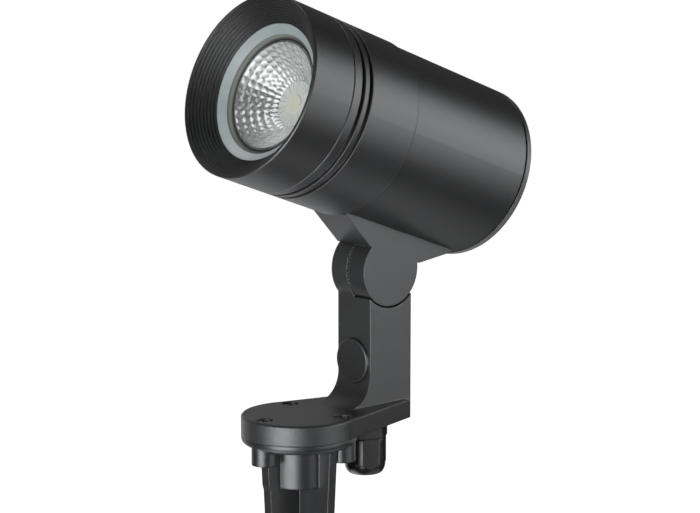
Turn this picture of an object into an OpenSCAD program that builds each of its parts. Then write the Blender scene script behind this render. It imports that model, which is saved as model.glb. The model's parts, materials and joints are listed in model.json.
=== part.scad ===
// Garden spotlight on an earth spike: a lamp head that tilts on a toothed knuckle above a cast stem and base.
// The lamp looks towards -Y, +Z is up, and the origin lies on the spike's axis, where the base sits on the spike.

/* [Head] */
// Outer radius of the bezel and the front housing
head_r = 44; // [42:0.5:48]
// How far the rear housing lies inside the front housing's radius
rear_step = 0.7; // [0.3:0.1:1.2]
// Wall of the two head castings
head_wall = 3.5; // [3:0.1:4]
// Tilt of the lamp's axis above the horizontal, as stored
head_tilt = 19.5; // [0:0.5:40]
// Distance from the tilt axis to the lamp's axis
head_offset = 61; // [60:0.5:66]
// Rear housing's length in front of the tilt axis
rear_front = 37.9; // [36:0.1:46]
// Rear housing's length behind the tilt axis
rear_back = 40.8; // [39:0.1:50]
// Front housing's visible length
front_len = 42.9; // [40:0.1:50]
// Bezel's visible length
bezel_len = 24.9; // [22:0.1:32]
// Length of the plain joint that the rear housing pushes into the front housing
joint_len = 8; // [6:0.5:12]
// Wall of that joint
joint_wall = 2.6; // [2.2:0.1:3]
// Width of each cooling groove round the front housing
groove_w = 2.3; // [1.5:0.1:2.6]
// Depth of each cooling groove
groove_d = 1.8; // [1:0.1:2]
// Land between the two cooling grooves
groove_land = 2.6; // [2:0.1:3]
// Land between the bezel's seam and the first groove
groove_start = 4.8; // [3:0.1:5.5]
// Small bevel on each seam edge of the head
seam_bevel = 0.3; // [0.1:0.05:0.5]

/* [End cap] */
// End cap's thickness with its gasket
cap_t = 4.6; // [4.2:0.1:6]
// Gasket thickness
gasket_t = 0.8; // [0.6:0.1:1]
// How far the gasket lies inside the seam
gasket_inset = 0.6; // [0.3:0.1:1]
// Depth of the lip that centres the cap in the housing
cap_lip = 3; // [2:0.5:5]
// Wall of that lip
cap_lip_wall = 2; // [1.5:0.1:2.5]
// Bevel round the cap's rear edge
cap_bevel = 0.9; // [0.4:0.1:1.4]
// Length of the bosses that take the cap screws
cap_boss_len = 14; // [12:1:18]

/* [Bezel and lens] */
// Depth from the rim to the lens seal
recess_depth = 10.7; // [8:0.1:12]
// Wall of the bezel at its mouth
mouth_wall = 1.5; // [1:0.1:2.5]
// Width of the stepped slope inside the bezel
recess_w = 9.6; // [8:0.1:11]
// Number of anti-glare steps inside the bezel
glare_steps = 9; // [5:1:12]
// Bezel's wall over its thread
thread_wall = 5; // [4.4:0.1:5.6]
// Bezel's wall between its thread and the lens seal
pocket_wall = 1.35; // [1:0.05:2]
// Glass thickness
glass_t = 3; // [2.5:0.1:4]
// Width of the lens seal that shows inside the bezel
seal_show = 4.1; // [3:0.1:5]
// Height of the seal's lip above the glass
seal_lip = 3.1; // [2.8:0.1:3.6]
// How far the lip falls towards its inner edge
seal_fall = 2.6; // [1.5:0.1:2.7]
// Rubber outside the glass edge
seal_side = 2.3; // [1.8:0.1:2.6]
// Rubber behind the glass
seal_foot = 2.2; // [1.6:0.1:3]
// Width of the seal's foot behind the glass
seal_foot_w = 1.3; // [1:0.1:1.4]

/* [Light source] */
// Reflector radius at its rim
reflector_r = 25.4; // [24:0.1:26.5]
// Reflector radius at its foot
reflector_foot_r = 10.9; // [9.5:0.1:11.5]
// Reflector depth
reflector_d = 14.2; // [12:0.1:17]
// Reflector wall
reflector_wall = 1; // [0.6:0.1:1.2]
// Wall of the black ring that carries the reflector
carrier_wall = 1.7; // [1.4:0.1:2.4]
// Thickness of that ring's front face
carrier_face = 2; // [1.5:0.1:2.5]
// Radius of the light source's board
led_board_r = 12.4; // [12.2:0.1:13.5]
// Thickness of the light source's board
led_board_t = 1.6; // [1:0.1:2]
// Radius of the light-emitting spot
phosphor_r = 4.6; // [3:0.1:6]
// Height of the light-emitting spot
phosphor_t = 0.6; // [0.4:0.1:1]
// Edge of the ring that locates the board, outside its screw heads
holder_edge = 0.5; // [0.3:0.1:1.5]
// How far that ring lies below the board's face
holder_sunk = 0.1; // [0.05:0.05:0.4]
// Thickness of the heat spreader plate
plate_t = 4; // [3:0.1:5]
// Radius of the wire hole through the plate
wire_hole_r = 3.4; // [3.2:0.1:4]

/* [Driver] */
// Space between the driver board's long edges and the housing
board_side = 5.7; // [4:0.1:8]
// Driver board's length
board_l = 54; // [50:1:58]
// Driver board's thickness
board_t = 1.6; // [1.2:0.1:2]
// Depth of the board's top face below the lamp's axis
board_drop = 26; // [24:0.5:27]
// Distance from the end of the rear housing to the board
board_start = 9; // [8:0.5:12]
// Distance of the board's screws from its edges
board_margin = 4.5; // [4:0.1:6]
// Radius of the posts under the board
post_r = 3.4; // [3:0.1:4]
// Transformer width
transformer_w = 20; // [16:0.5:24]
// Transformer length
transformer_l = 18; // [14:0.5:20]
// Transformer height
transformer_h = 16; // [12:0.5:22]
// Capacitor radius
capacitor_r = 5; // [4:0.1:5.5]
// Capacitor height
capacitor_h = 18; // [12:1:22]
// Connector width
connector_w = 14; // [10:0.5:18]
// Connector length
connector_l = 9; // [7:0.5:10]
// Connector height above its wires
connector_cover = 3.5; // [2:0.1:6]
// Gap between the parts on the driver board
part_gap = 1.5; // [0.5:0.1:3]
// Radius of the insulated wires to the light source
wire_r = 0.9; // [0.7:0.05:1.1]
// Distance between those two wires
wire_gap = 4.4; // [2.6:0.1:4.6]
// Depth of those wires below the lamp's axis
wire_drop = 20.5; // [20.2:0.1:21]

/* [Knuckle] */
// Radius of the two knuckle discs
knuckle_r = 17.8; // [17:0.1:19]
// Width of the stem and of the arm on the head
arm_w = 23.3; // [22:0.1:26]
// Gap between each disc and the arm that it turns in
knuckle_gap = 0.8; // [0.5:0.1:1.2]
// Gap between the two toothed faces
face_gap = 0.1; // [0.05:0.01:0.2]
// Height of the tilt axis above the base's underside
knuckle_z = 75.1; // [74:0.1:90]
// Distance of the tilt axis behind the spike's axis
knuckle_y = 49.1; // [48:0.1:54]
// Number of teeth round each face
teeth = 60; // [40:1:72]
// Depth of the notches between the teeth
tooth_depth = 0.7; // [0.4:0.1:1]
// Width of the toothed ring
tooth_ring_w = 5; // [4:0.1:5.4]
// Half length of the head's arm where it meets the housing
arm_half_top = 37.4; // [34:0.1:37.6]
// Half length of the head's arm above the disc
arm_half_low = 17.4; // [16.8:0.1:19]
// Height of the arm's lower corners above the tilt axis
arm_low = 7.75; // [7:0.05:9]
// Height of the arm's upper corners above the tilt axis
arm_high = 18; // [17:0.1:18.5]
// Depth of the wiring chamber in each disc
chamber_d = 5; // [4.8:0.1:5.3]
// Radius of the wire passages
passage_r = 2.2; // [1.8:0.1:2.3]
// Radius of the clamp screw's shank
clamp_r = 3; // [2.5:0.1:3.2]
// Radius of the clamp screw's head
clamp_head_r = 5.25; // [5:0.05:5.6]
// Height of the clamp screw's head
clamp_head_h = 3.3; // [2.8:0.1:3.6]
// Across flats of the clamp screw's socket
clamp_socket = 4; // [3:0.5:5]
// Washer radius
washer_r = 6; // [5.8:0.1:6.4]
// Washer thickness
washer_t = 1; // [0.8:0.1:1.2]
// Radius of the threaded insert in the head's disc
insert_r = 4.6; // [4.2:0.1:4.8]
// Length of the threaded insert
insert_len = 8.5; // [7:0.1:9]

/* [Stem and base] */
// Depth of the stem from front to back
stem_d = 26.9; // [26:0.1:29]
// Wall of the stem
stem_wall = 3.4; // [3:0.1:4]
// Radius of the fillet between stem and base
stem_fillet = 14.5; // [10:0.1:15]
// Radius of the base's round end
base_r = 27.9; // [27:0.1:30]
// Base thickness
base_t = 9.7; // [9:0.1:12]
// Bevel round the base's upper edge
base_bevel = 0.8; // [0.3:0.1:1.2]
// Wall between the wiring chamber in the stem and the knuckle
chamber_roof = 10; // [8:0.5:12]
// Height of the access plug's centre
plug_z = 30.7; // [29:0.1:33]
// Radius of the access plug's cap
plug_r = 10.9; // [10:0.1:11]
// How far the access plug stands proud
plug_proud = 2; // [1.5:0.1:3]
// Radius of the access plug's thread
plug_thread_r = 7.4; // [7:0.1:7.8]
// Terminal block width
terminal_w = 13; // [11:0.5:15]
// Terminal block depth
terminal_d = 9; // [8:0.5:10]
// Terminal block height
terminal_h = 18; // [12:0.5:24]
// Radius of the terminal screws
terminal_screw_r = 1.9; // [1.5:0.1:2.2]

/* [Spike fixing] */
// Radius of the circle that the base screws lie on
screw_ring_r = 21.5; // [21:0.1:22]
// Play round a base screw's head in its recess
recess_play = 0.5; // [0.3:0.1:0.8]
// Radius of a base screw's shank
base_screw_r = 2; // [1.5:0.1:2.2]
// Radius of a base screw's head
base_screw_head_r = 3.6; // [3.2:0.1:3.9]
// Height of a base screw's head
base_screw_head_h = 2.6; // [2.2:0.1:3]
// How far a screw's head lies below the base's upper face
base_screw_sunk = 0.7; // [0.4:0.1:1.2]

/* [Cable gland] */
// Distance from the stem's rear face to the gland's axis
gland_back = 19.75; // [19:0.1:20.5]
// Radius of the gland's thread
gland_thread_r = 7.9; // [7.7:0.1:8.1]
// Across flats of the gland's collar
collar_af = 20.4; // [20:0.1:22]
// Height of the gland's collar
collar_h = 7.8; // [7:0.1:10]
// Radius of the gland's bore
gland_bore_r = 5; // [4.8:0.1:5.2]
// Length of the threaded end that takes the nut
gland_end = 9.6; // [9:0.1:10.5]
// Height of the gland's nut
nut_h = 18.7; // [17.8:0.1:20]
// Height of the domed end of the nut
nut_dome = 5.3; // [4.5:0.1:6]
// Outer radius of the gland's nut
nut_r = 10.6; // [10.4:0.1:11]
// Ledge between the nut's flats and its dome
nut_ledge = 0.5; // [0.3:0.1:0.8]
// Across flats of the gland's nut
nut_af = 19.6; // [19.2:0.1:20.4]
// Turn of the nut's flats
nut_turn = 5; // [0:1:60]
// Radius of the cable hole in the sealing insert
cable_r = 4; // [3:0.1:4.2]

/* [Spike] */
// Spike length below the base
spike_len = 205; // [160:1:260]
// Radius of the spike's flange
flange_r = 27.9; // [27.6:0.1:30]
// Straight edge of the flange
flange_edge = 1.6; // [1:0.1:2.5]
// Height of the flange with its rounded underside
flange_h = 5.4; // [4:0.1:7]
// Radius of the flange's flat underside
flange_under_r = 20; // [18:0.1:21]
// Radius of each screw lobe
lobe_r = 6.4; // [5.4:0.1:6.4]
// Depth of the screw lobes
lobe_h = 11.6; // [11:0.1:14]
// Radius of the hub
hub_r = 15.5; // [12:0.1:16]
// Depth of the hub
hub_h = 23.8; // [20:0.1:30]
// Thickness of the blades
blade_t = 4.8; // [4:0.1:7]
// Half width of the blades at the top
blade_r = 22.9; // [20:0.1:24]
// Half width of the blades where the point begins
blade_low_r = 13.4; // [11:0.1:17]
// Extra half width of the front and rear blades beside the hub
blade_shoulder = 0.8; // [0.3:0.1:1.5]
// Height of the bevel below that shoulder
shoulder_h = 2.4; // [1.5:0.1:4]
// Length of the point
point_len = 40; // [25:1:60]
// Turn of the blades about the spike's axis
blade_turn = 4.5; // [0:0.5:45]

/* [Hidden] */
$fn = 96;

// Clearances: still joint, turning thread, free space, seat, and a screw in its hole
fit = 0.05;
run = 0.05;
loose = 0.3;
seat = 0.1;
screw_play = 0.2;

// Overlap of a cut past the face that it opens
cut = 1;

// Screw counts
base_screws_n = 3;
cap_screws_n = 4;
plate_screws_n = 3;
holder_screws_n = 2;

// Small screws of the head
small_screw_r = 1.5;
small_head_r = 2.75;
small_head_h = 1.8;
small_screw_len = 8;
tiny_screw_r = 1;
tiny_head_r = 1.75;
tiny_head_h = 1;
boss_wall = 2;
post_wall = 1;

// Small walls, lands and steps
ring_land = 0.6;
root_sink = 0.8;
knuckle_seal_w = 1.6;
insert_wall = 1.4;
insert_sunk = 0.5;
clamp_short = 0.6;
floor_t = 2.5;
plug_land = 0.8;
neck_short = 0.5;
gland_wall = 1.1;
insert_step = 0.6;
insert_bevel = 1;
nut_lip = 1.6;

// Radii of the head
rear_r = head_r - rear_step;
rear_in = rear_r - head_wall;
front_in = head_r - head_wall;
joint_r = front_in - fit;
mouth_r = head_r - mouth_wall;
lip_r = mouth_r - recess_w;
thread_r = head_r - thread_wall;

// Stations along the lamp's axis, counted forward from the tilt axis
u_seam = rear_front + front_len;
u_rim = u_seam + bezel_len;
u_lip = u_rim - recess_depth;
u_glass = u_lip - seal_lip;
u_glass_back = u_glass - glass_t;
u_neck = u_glass_back - seal_foot;
u_reflector = u_glass_back - loose;
u_led = u_reflector - reflector_d;
u_plate = u_led - led_board_t;
u_cap = -rear_back - cap_t;

// Radii round the lens
pocket_r = thread_r - pocket_wall;
seal_r = pocket_r - loose;
seal_in_r = lip_r - seal_show;
glass_r = seal_r - seal_side - fit;
neck_in = glass_r - seal_foot_w;
carrier_r = neck_in - loose;

// Cap screws and plate screws
cap_screw_ring = rear_in - small_head_r - cap_lip_wall + seat;
cap_boss_r = small_screw_r + boss_wall;
plate_screw_ring = (neck_in + thread_r) / 2;

// Housing seal in a groove of the joint
oring_r = 0.75;
oring_groove = 2 * oring_r;
oring_back = 3;

// Reflector's curve, and its inner radius at a station
reflector_u = u_led + seat;
reflector_rise = (u_reflector - reflector_u) / (pow(reflector_r, 2) - pow(reflector_foot_r, 2));
function bowl_r(u) = sqrt(pow(reflector_foot_r, 2) + (u - reflector_u) / reflector_rise);

// Ring that locates the light source, its screw heads clear of the reflector
holder_h = led_board_t - holder_sunk;
holder_top = u_plate + holder_h + tiny_head_h;
holder_screw_ring = bowl_r(holder_top) + reflector_wall + loose + tiny_head_r;
holder_r = holder_screw_ring + tiny_head_r + holder_edge;

// Driver board
board_u = board_start - rear_back;
board_w = 2 * (sqrt(pow(rear_in, 2) - pow(board_drop + board_t, 2)) - board_side);
board_post_x = board_w / 2 - board_margin;
board_posts = [board_u + board_margin, board_u + board_l - board_margin];
connector_u = board_u + board_l - connector_l;
connector_h = board_drop - wire_drop + connector_cover;
capacitor_x = capacitor_r + part_gap / 2;
capacitor_u = connector_u - part_gap - capacitor_r;
transformer_u = capacitor_u - capacitor_r - part_gap - transformer_l / 2;

// Knuckle
half_w = arm_w / 2;
face = face_gap / 2;
cut_r = knuckle_r + knuckle_gap;
tooth_in = knuckle_r - tooth_ring_w;
seal_groove_out = tooth_in - ring_land;
seal_groove_in = seal_groove_out - knuckle_seal_w;
seal_groove_d = 1;
chamber_r = seal_groove_in - ring_land;
chamber_core = insert_r + insert_wall;
insert_start = face + insert_sunk;
clamp_recess_r = washer_r + loose;
clamp_floor = washer_t + clamp_head_h + loose - half_w;
clamp_tip = insert_start + insert_len - clamp_short;
socket_d = clamp_head_h * 0.6;
arm_top = head_offset - sqrt(pow(rear_r, 2) - pow(half_w, 2)) + root_sink;

// Stem
stem_front = knuckle_y - stem_d / 2;
stem_rear = knuckle_y + stem_d / 2;
stem_top = knuckle_z - sqrt(pow(knuckle_r, 2) - pow(stem_d / 2, 2)) + root_sink;
chamber_floor = base_t + floor_t;
chamber_top = knuckle_z - cut_r - chamber_roof;
chamber_x = half_w - stem_wall;
chamber_front = stem_front + stem_wall;
chamber_back = stem_rear - stem_wall;
plug_groove_in = plug_thread_r + plug_land;
plug_groove_out = plug_r - plug_land;
plug_groove_d = 1;
plug_play = 0.25;

// Sides of the base's tail, from its rear corners to just inside its round end
tail_sink = 0.2;
tail_r = base_r - tail_sink;
tail_reach = norm([half_w, stem_rear]);
tail_angle = atan2(stem_rear, half_w) - acos(tail_r / tail_reach);
tail_side = tail_r * [cos(tail_angle), sin(tail_angle)];

// Gland
gland_y = stem_rear - gland_back;
gland_neck = base_t - neck_short;
gland_seat_r = gland_thread_r - gland_wall;
gland_seat_d = 6;
insert_head_r = gland_thread_r - insert_step;
insert_head_h = 4.4;
insert_shank_r = gland_seat_r - loose;
gland_tip = collar_h + gland_end;
gland_nut_top = collar_h + seat;
gland_nut_end = collar_h + nut_h;
gland_groove_in = gland_thread_r + loose;
gland_groove_out = collar_af / 2 - ring_land;
gland_groove_d = 1;
nut_hole_r = gland_bore_r + loose;

// Colours
coat = "#3b3c40";
coat_dark = "#26272a";
plastic = "#1d1e20";
rubber = "#141516";
steel = "#b9bcc0";
brass = "#c9a552";

// Places children at the tilt axis
module at_knuckle() translate([0, knuckle_y, knuckle_z]) children();

// Head frame on the tilt axis: x across, y up to the lamp's axis, z forward along it
module in_head() at_knuckle() rotate([90 - head_tilt, 0, 0]) children();

// Head frame moved up to the lamp's axis
module on_axis() in_head() translate([0, head_offset, 0]) children();

// Turns a profile of radius and height about Z
module turned(profile) rotate_extrude() polygon(profile);

// Tube from height z0 to z1
module tube(r_out, r_in, z0, z1) turned([[r_in, z0], [r_out, z0], [r_out, z1], [r_in, z1]]);

// Round bar along X
module bar_x(r, x0, x1) translate([x0, 0, 0]) rotate([0, 90, 0]) cylinder(r = r, h = x1 - x0);

// Extrudes a flat shape drawn in Y and Z along X
module across(x0, x1) translate([x0, 0, 0]) rotate([90, 0, 90]) linear_extrude(x1 - x0) children();

// Box given by its two corners
module box(low, high) translate(low) cube(high - low);

// Ring of equal copies about Z
module around(count, radius, start = 0) {
    for (i = [0 : count - 1])
        rotate([0, 0, start + 360 * i / count]) translate([radius, 0, 0]) children();
}

// Hexagon prism by its width across flats
module hex(af, h) cylinder(r = af / 2 / cos(30), h = h, $fn = 6);

// Screw along -Z from its seat at z = 0, with a cross recess in its head
module cross_screw(r, length, head_r, head_h) {
    bevel = head_h * 0.3;
    recess_w = head_r * 0.32;
    recess_l = head_r * 1.3;
    recess_d = head_h * 0.55;
    difference() {
        union() {
            translate([0, 0, -length]) cylinder(r = r, h = length + head_h / 2);
            turned([[0, 0], [head_r, 0], [head_r, head_h - bevel], [head_r - bevel, head_h], [0, head_h]]);
        }
        for (a = [0, 90])
            rotate([0, 0, a]) translate([-recess_l / 2, -recess_w / 2, head_h - recess_d])
                cube([recess_l, recess_w, recess_d + cut]);
    }
}

// Places children on each base screw's axis
module at_base_screws() around(base_screws_n, screw_ring_r, -90) children();

// Notches between the teeth of a knuckle face, cut forward along X from x0
module tooth_notches(x0) {
    half_angle = 360 / teeth / 4;
    reach = knuckle_r + cut;
    wedge = [
        tooth_in * [cos(half_angle), -sin(half_angle)], reach * [cos(half_angle), -sin(half_angle)],
        reach * [cos(half_angle), sin(half_angle)], tooth_in * [cos(half_angle), sin(half_angle)]
    ];
    translate([x0, 0, 0]) rotate([0, 90, 0]) linear_extrude(tooth_depth + cut)
        for (i = [0 : teeth - 1]) rotate(360 * i / teeth) polygon(wedge);
}

// Flat blade through the spike's axis, wider by a shoulder beside the hub
module blade(shoulder) {
    top = -flange_edge - 1;
    point_z = point_len - spike_len;
    slope = (blade_r - blade_low_r) / (top - point_z);
    step_z = -hub_h + shoulder_h;
    step_r = blade_r - slope * (top - step_z);
    side = concat(
        [[blade_r + shoulder, top]], shoulder > 0 ? [[step_r + shoulder, step_z], [step_r, -hub_h]] : [],
        [[blade_low_r, point_z]]
    );
    outline = concat(side, [[0, -spike_len]], [for (i = [len(side) - 1 : -1 : 0]) [-side[i][0], side[i][1]]]);
    rotate([90, 0, 0]) translate([0, 0, -blade_t / 2]) linear_extrude(blade_t) polygon(outline);
}

module spike() {
    round_steps = 8;
    pilot_floor = 1;
    under = [
        for (i = [0 : round_steps])
            let (a = 90 * i / round_steps)
                [
                    flange_under_r + (flange_r - flange_under_r) * cos(a),
                    -flange_edge - (flange_h - flange_edge) * sin(a)
                ]
    ];
    color(plastic) difference() {
        union() {
            turned(concat([[0, 0], [flange_r, 0]], under, [[0, -flange_h]]));
            translate([0, 0, -hub_h]) cylinder(r = hub_r, h = hub_h - flange_edge);
            at_base_screws() translate([0, 0, -lobe_h]) cylinder(r = lobe_r, h = lobe_h - flange_edge);
            rotate([0, 0, blade_turn]) blade(0);
            rotate([0, 0, blade_turn + 90]) blade(blade_shoulder);
        }
        at_base_screws() translate([0, 0, pilot_floor - lobe_h])
            cylinder(r = base_screw_r + fit, h = lobe_h + cut);
    }
}

module base_screws() {
    seat_z = base_t - base_screw_sunk - base_screw_head_h;
    color(steel) at_base_screws() translate([0, 0, seat_z])
        cross_screw(base_screw_r, seat_z + lobe_h - 2, base_screw_head_r, base_screw_head_h);
}

// Base plate with its round end, its tapering tail and a bevelled upper edge
module base_plate() {
    root = base_r / 2;
    tail = [
        [root, 0], tail_side, [half_w, stem_rear], [-half_w, stem_rear], [-tail_side[0], tail_side[1]], [-root, 0]
    ];
    rim = base_t - base_bevel;
    turned([[0, 0], [base_r, 0], [base_r, rim], [base_r - base_bevel, base_t], [0, base_t]]);
    hull() {
        linear_extrude(rim) polygon(tail);
        linear_extrude(base_t) offset(delta = -base_bevel) polygon(tail);
    }
}

module base_bracket() {
    seat_z = base_t - base_screw_sunk - base_screw_head_h;
    color(coat) difference() {
        union() {
            base_plate();
            box([-half_w, stem_front, 0], [half_w, stem_rear, stem_top]);
            across(-half_w, half_w) difference() {
                translate([stem_front - stem_fillet, base_t - base_bevel]) square(stem_fillet + base_bevel);
                translate([stem_front - stem_fillet, base_t + stem_fillet]) circle(stem_fillet);
            }
            at_knuckle() bar_x(knuckle_r, -half_w, -face);
        }
        at_knuckle() {
            bar_x(cut_r, -face, half_w + cut);
            tooth_notches(-face - tooth_depth);
            difference() {
                bar_x(chamber_r, -face - chamber_d, cut);
                bar_x(chamber_core, -half_w, 2 * cut);
            }
            difference() {
                bar_x(seal_groove_out, -face - seal_groove_d, cut);
                bar_x(seal_groove_in, -half_w, 2 * cut);
            }
            bar_x(clamp_r + loose, -half_w, cut);
            bar_x(clamp_recess_r, -half_w - cut, clamp_floor);
        }
        at_base_screws() {
            translate([0, 0, -cut]) cylinder(r = base_screw_r + screw_play, h = base_t);
            translate([0, 0, seat_z]) cylinder(r = base_screw_head_r + recess_play, h = base_t);
        }
        translate([0, gland_y, -cut]) cylinder(r = gland_thread_r + fit, h = base_t + cut);
        translate([0, gland_y, 0]) cylinder(r = gland_bore_r, h = chamber_floor + cut);
        box([-chamber_x, chamber_front, chamber_floor], [chamber_x, chamber_back, chamber_top]);
        translate([-face - chamber_d / 2 - fit, knuckle_y, chamber_top - cut])
            cylinder(r = passage_r, h = knuckle_z - chamber_core - chamber_top);
        translate([0, chamber_front + cut, plug_z]) rotate([90, 0, 0])
            cylinder(r = plug_thread_r + fit, h = stem_wall + 2 * cut);
        translate([0, stem_front, plug_z]) rotate([90, 0, 0]) cylinder(r = plug_r + plug_play, h = stem_fillet);
    }
}

module access_plug() {
    bevel = 0.4;
    color(coat) translate([0, stem_front, plug_z]) rotate([90, 0, 0]) difference() {
        turned([
            [0, -stem_wall], [plug_thread_r, -stem_wall], [plug_thread_r, 0], [plug_r, 0],
            [plug_r, plug_proud - bevel], [plug_r - bevel, plug_proud], [0, plug_proud]
        ]);
        tube(plug_groove_out, plug_groove_in, -cut, plug_groove_d);
    }
}

module plug_oring()
    color(rubber) translate([0, stem_front, plug_z]) rotate([90, 0, 0])
        tube(plug_groove_out - fit, plug_groove_in + fit, 0, plug_groove_d);

module terminal_block() {
    low = [-terminal_w / 2, -terminal_d, -terminal_h / 2];
    high = [terminal_w / 2, 0, terminal_h / 2];
    color("#d8d6cc") translate([0, chamber_back, plug_z]) difference() {
        box(low, high);
        for (s = [-1, 1]) translate([s * terminal_w / 4, -terminal_d / 2, 0]) {
            translate([0, 0, -terminal_h / 2 - cut]) cylinder(r = terminal_screw_r, h = terminal_h + 2 * cut);
            rotate([90, 0, 0]) cylinder(r = terminal_screw_r + fit, h = terminal_d);
        }
    }
}

module terminal_screws() {
    slot = terminal_screw_r * 0.35;
    length = terminal_d / 2;
    color(brass) translate([0, chamber_back - terminal_d, plug_z])
        for (s = [-1, 1]) translate([s * terminal_w / 4, 0, 0]) rotate([90, 0, 0]) difference() {
            translate([0, 0, -length]) cylinder(r = terminal_screw_r, h = length);
            translate([-slot / 2, -terminal_screw_r - cut, -slot])
                cube([slot, 2 * (terminal_screw_r + cut), length]);
        }
}

module gland_body() {
    corner_r = collar_af * 0.555;
    color(plastic) translate([0, gland_y, 0]) difference() {
        union() {
            cylinder(r = gland_thread_r, h = gland_neck);
            translate([0, 0, -collar_h]) rotate([0, 0, nut_turn]) intersection() {
                hex(collar_af, collar_h);
                cylinder(r = corner_r, h = collar_h);
            }
            translate([0, 0, -gland_tip]) cylinder(r = gland_thread_r, h = gland_tip);
        }
        translate([0, 0, -gland_tip - cut]) cylinder(r = gland_bore_r, h = gland_tip + gland_neck + 2 * cut);
        translate([0, 0, -gland_tip - cut]) cylinder(r = gland_seat_r, h = gland_seat_d + cut);
        tube(gland_groove_out, gland_groove_in, -gland_groove_d, cut);
        tube(collar_af, gland_thread_r, 0, cut);
    }
}

module gland_oring()
    color(rubber) translate([0, gland_y, 0])
        tube(gland_groove_out - fit, gland_groove_in + fit, -gland_groove_d, 0);

module gland_insert() {
    head_top = -gland_tip - seat;
    head_end = head_top - insert_head_h;
    color(rubber) translate([0, gland_y, 0]) turned([
        [cable_r, head_end], [insert_head_r - insert_bevel, head_end], [insert_head_r, head_end + insert_bevel],
        [insert_head_r, head_top], [insert_shank_r, head_top], [insert_shank_r, head_top + gland_seat_d - seat],
        [cable_r, head_top + gland_seat_d - seat]
    ]);
}

module gland_nut() {
    dome_steps = 8;
    dome_end_r = nut_hole_r + nut_lip;
    floor_z = -gland_tip - 2 * seat - insert_head_h;
    dome_r = nut_r - nut_ledge;
    flats_end = nut_dome - gland_nut_end;
    dome = [
        for (i = [0 : dome_steps])
            let (a = 90 * i / dome_steps)
                [dome_end_r + (dome_r - dome_end_r) * cos(a), flats_end - nut_dome * sin(a)]
    ];
    edge = [[0, -gland_nut_top], [nut_r - nut_ledge, -gland_nut_top], [nut_r, -gland_nut_top - nut_ledge]];
    color(plastic) translate([0, gland_y, 0]) difference() {
        union() {
            intersection() {
                turned(concat(edge, [[nut_r, flats_end]], dome, [[0, -gland_nut_end]]));
                translate([0, 0, -gland_nut_end]) rotate([0, 0, nut_turn]) hex(nut_af, nut_h);
            }
            translate([0, 0, -gland_nut_end]) cylinder(r = dome_end_r, h = nut_dome);
        }
        translate([0, 0, -gland_tip - seat]) cylinder(r = gland_thread_r + run, h = gland_tip);
        translate([0, 0, floor_z]) cylinder(r = insert_head_r + loose, h = gland_tip);
        translate([0, 0, -gland_nut_end - cut]) cylinder(r = nut_hole_r, h = nut_h);
    }
}

module knuckle_seal()
    color(rubber) at_knuckle() difference() {
        bar_x(seal_groove_out - fit, -face - seal_groove_d, -face);
        bar_x(seal_groove_in + fit, -half_w, half_w);
    }

module clamp_screw() {
    head_x = clamp_floor - washer_t;
    bevel = clamp_head_h * 0.35;
    color(steel) at_knuckle() rotate([0, -90, 0]) difference() {
        turned([
            [0, -clamp_tip], [clamp_r, -clamp_tip], [clamp_r, -head_x], [clamp_head_r, -head_x],
            [clamp_head_r, clamp_head_h - bevel - head_x], [clamp_head_r - bevel, clamp_head_h - head_x],
            [0, clamp_head_h - head_x]
        ]);
        translate([0, 0, clamp_head_h - socket_d - head_x]) hex(clamp_socket, socket_d + cut);
    }
}

module clamp_washer()
    color(steel) at_knuckle() difference() {
        bar_x(washer_r, clamp_floor - washer_t, clamp_floor);
        bar_x(clamp_r + loose, -2 * half_w, half_w);
    }

module thread_insert()
    color(brass) in_head() difference() {
        bar_x(insert_r, insert_start, insert_start + insert_len);
        bar_x(clamp_r + run, -half_w, half_w);
    }

// Shell of the rear housing about the lamp's axis, with the joint that enters the front housing
module rear_shell() {
    joint_end = rear_front + joint_len;
    groove_u = rear_front + oring_back;
    turned([
        [rear_in, -rear_back], [rear_r - seam_bevel, -rear_back], [rear_r, seam_bevel - rear_back],
        [rear_r, rear_front - seam_bevel], [rear_r - seam_bevel, rear_front], [joint_r, rear_front],
        [joint_r, groove_u], [joint_r - oring_groove, groove_u], [joint_r - oring_groove, groove_u + oring_groove],
        [joint_r, groove_u + oring_groove], [joint_r, joint_end], [joint_r - joint_wall, joint_end],
        [joint_r - joint_wall, rear_front], [rear_in, rear_front - joint_wall]
    ]);
}

// Bosses inside the rear shell: four posts for the driver board, and one boss for each cap screw
module rear_bosses() {
    floor_n = -board_drop - board_t;
    intersection() {
        union() {
            for (x = [-1, 1], u = board_posts)
                translate([x * board_post_x, floor_n, u]) rotate([90, 0, 0]) cylinder(r = post_r, h = rear_r);
            around(cap_screws_n, cap_screw_ring) translate([0, 0, -rear_back + cap_lip + seat]) {
                cylinder(r = cap_boss_r, h = cap_boss_len);
                translate([0, -cap_boss_r, 0]) cube([head_wall + cap_boss_r, 2 * cap_boss_r, cap_boss_len]);
            }
        }
        translate([0, 0, -rear_back]) cylinder(r = rear_in + head_wall / 2, h = rear_back + rear_front);
    }
}

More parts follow.
